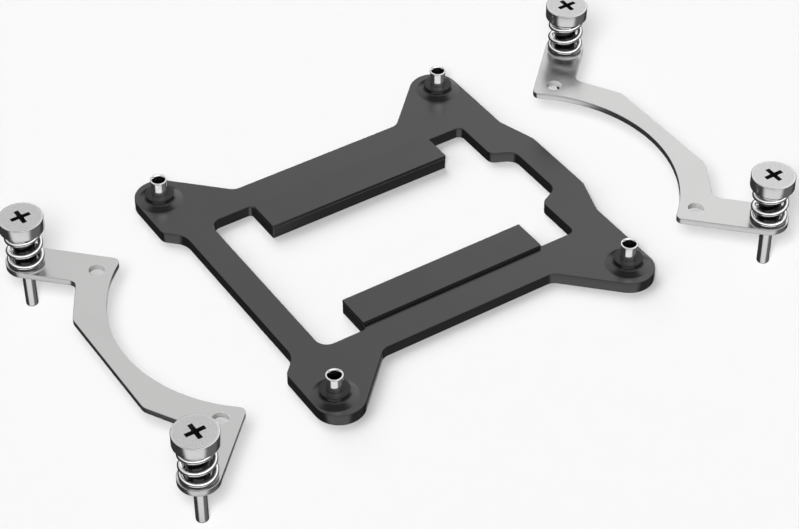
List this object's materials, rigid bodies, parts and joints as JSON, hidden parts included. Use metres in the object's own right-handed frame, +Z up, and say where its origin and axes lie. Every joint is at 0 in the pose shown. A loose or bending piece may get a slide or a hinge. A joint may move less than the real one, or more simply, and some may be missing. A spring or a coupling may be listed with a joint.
{
  "type": "cpu cooler mounting bracket",
  "caption": "Black back frame with threaded posts on a square, and silver spring-screw brackets with round recesses that clamp a round cooler base.",
  "frame": {"origin": "centre of the square of four posts, on the frame's underside", "axes": "+X from the left bracket to the right bracket, +Y to the rear, +Z up along the posts"},
  "size_m": [0.1565, 0.1034, 0.0252],
  "materials": {
    "frame_black": "black glass-filled plastic with a fine satin grain",
    "pad_black": "dense black rubber pad with a dull face",
    "bracket_steel": "punched stainless sheet with a satin face",
    "post_nickel": "bright nickel plate",
    "washer_black": "black nylon",
    "screw_steel": "nickel-plated steel, satin on the head's face and polished round its side",
    "spring_steel": "bright drawn wire",
    "clip_steel": "plain spring steel"
  },
  "bodies": {
    "frame_and_brackets": {"back_frame": "frame_black", "pad_rear": "pad_black", "pad_front": "pad_black", "bracket_left": "bracket_steel", "bracket_right": "bracket_steel", "post_rear_left": "post_nickel", "post_washer_rear_left": "washer_black", "spring_rear_left": "spring_steel", "post_front_left": "post_nickel", "post_washer_front_left": "washer_black", "spring_front_left": "spring_steel", "post_rear_right": "post_nickel", "post_washer_rear_right": "washer_black", "spring_rear_right": "spring_steel", "post_front_right": "post_nickel", "post_washer_front_right": "washer_black", "spring_front_right": "spring_steel"},
    "clip_rear_left": {"clip_rear_left": "clip_steel"},
    "screw_rear_left": {"screw_rear_left": "screw_steel"},
    "clip_front_left": {"clip_front_left": "clip_steel"},
    "screw_front_left": {"screw_front_left": "screw_steel"},
    "clip_rear_right": {"clip_rear_right": "clip_steel"},
    "screw_rear_right": {"screw_rear_right": "screw_steel"},
    "clip_front_right": {"clip_front_right": "clip_steel"},
    "screw_front_right": {"screw_front_right": "screw_steel"}
  },
  "joints": [
    {"name": "press_rear_left", "type": "slide", "parent": "frame_and_brackets", "child": "clip_rear_left", "axis": [0, 0, 1], "range_m": [-0.0045, 0], "stiffness_N_per_m": 1000, "deforming": ["spring_rear_left"]},
    {"name": "turn_rear_left", "type": "hinge", "parent": "clip_rear_left", "child": "screw_rear_left", "pos_m": [-0.079, 0.0255, 0.011], "axis": [0, 0, 1], "continuous": true},
    {"name": "press_front_left", "type": "slide", "parent": "frame_and_brackets", "child": "clip_front_left", "axis": [0, 0, 1], "range_m": [-0.0045, 0], "stiffness_N_per_m": 1000, "deforming": ["spring_front_left"]},
    {"name": "turn_front_left", "type": "hinge", "parent": "clip_front_left", "child": "screw_front_left", "pos_m": [-0.079, -0.0525, 0.011], "axis": [0, 0, 1], "continuous": true},
    {"name": "press_rear_right", "type": "slide", "parent": "frame_and_brackets", "child": "clip_rear_right", "axis": [0, 0, 1], "range_m": [-0.0045, 0], "stiffness_N_per_m": 1000, "deforming": ["spring_rear_right"]},
    {"name": "turn_rear_right", "type": "hinge", "parent": "clip_rear_right", "child": "screw_rear_right", "pos_m": [0.0675, 0.0255, 0.011], "axis": [0, 0, 1], "continuous": true},
    {"name": "press_front_right", "type": "slide", "parent": "frame_and_brackets", "child": "clip_front_right", "axis": [0, 0, 1], "range_m": [-0.0045, 0], "stiffness_N_per_m": 1000, "deforming": ["spring_front_right"]},
    {"name": "turn_front_right", "type": "hinge", "parent": "clip_front_right", "child": "screw_front_right", "pos_m": [0.0675, -0.0525, 0.011], "axis": [0, 0, 1], "continuous": true}
  ]
}
